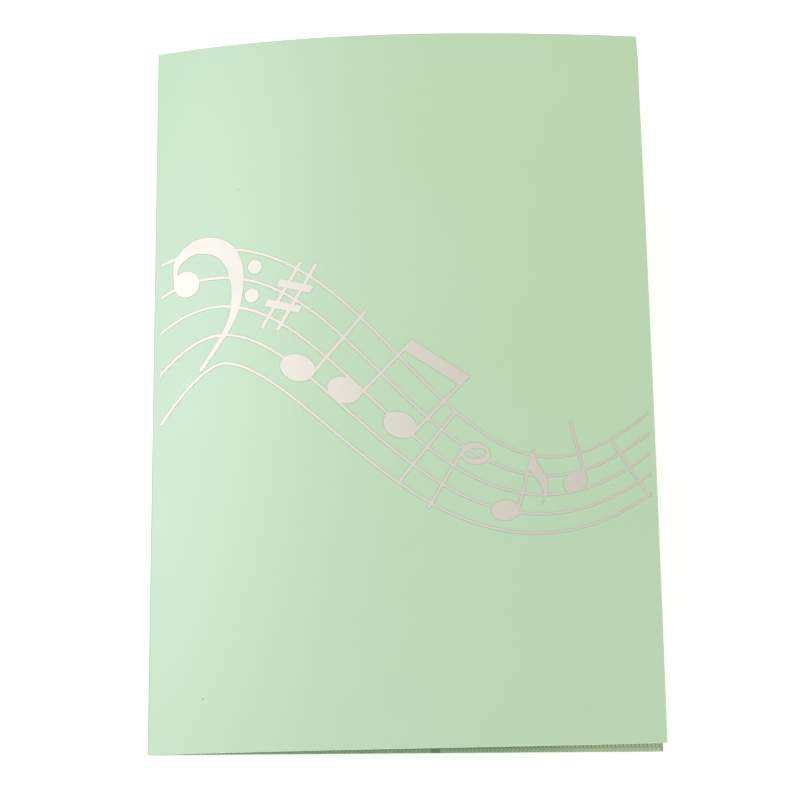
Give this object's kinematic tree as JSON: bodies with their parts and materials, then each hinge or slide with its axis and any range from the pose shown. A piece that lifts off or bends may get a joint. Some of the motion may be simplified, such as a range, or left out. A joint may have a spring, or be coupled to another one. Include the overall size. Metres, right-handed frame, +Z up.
{
  "type": "music folder",
  "caption": "Creased polypropylene music folder, front cover sprung ajar, with welded film strips inside to hold the sheets and a staff of notes in silver foil.",
  "frame": {"origin": "middle of the folder's footprint, on the surface that it lies on", "axes": "+X from the crease to the free edges, +Y from the bottom edges to the top edges, +Z up out of the rear cover"},
  "size_m": [0.2158, 0.312, 0.0367],
  "materials": {
    "cover": "satin mint green polypropylene sheet with a fine frosted grain",
    "film": "thin smooth mint green film with a ribbed heat weld along its edge",
    "foil": "hot-stamped silver foil, satin, faintly warm"
  },
  "bodies": {
    "rear": {"rear_cover": "cover", "spine_crease": "cover", "rear_bottom_strip": "film", "rear_top_strip": "film"},
    "front": {"front_cover": "cover", "front_bottom_strip": "film", "front_top_strip": "film", "foil_staff": "foil", "foil_clef_dot_upper": "foil", "foil_clef_dot_lower": "foil"}
  },
  "joints": [
    {"name": "cover_hinge", "type": "hinge", "parent": "rear", "child": "front", "pos_m": [-0.1071, 0, 0.0008], "axis": [0, -1, 0], "range_deg": [-4, 155], "stiffness_Nm_per_rad": 0.055, "springref_deg": 34.38, "deforming": ["spine_crease"]}
  ]
}
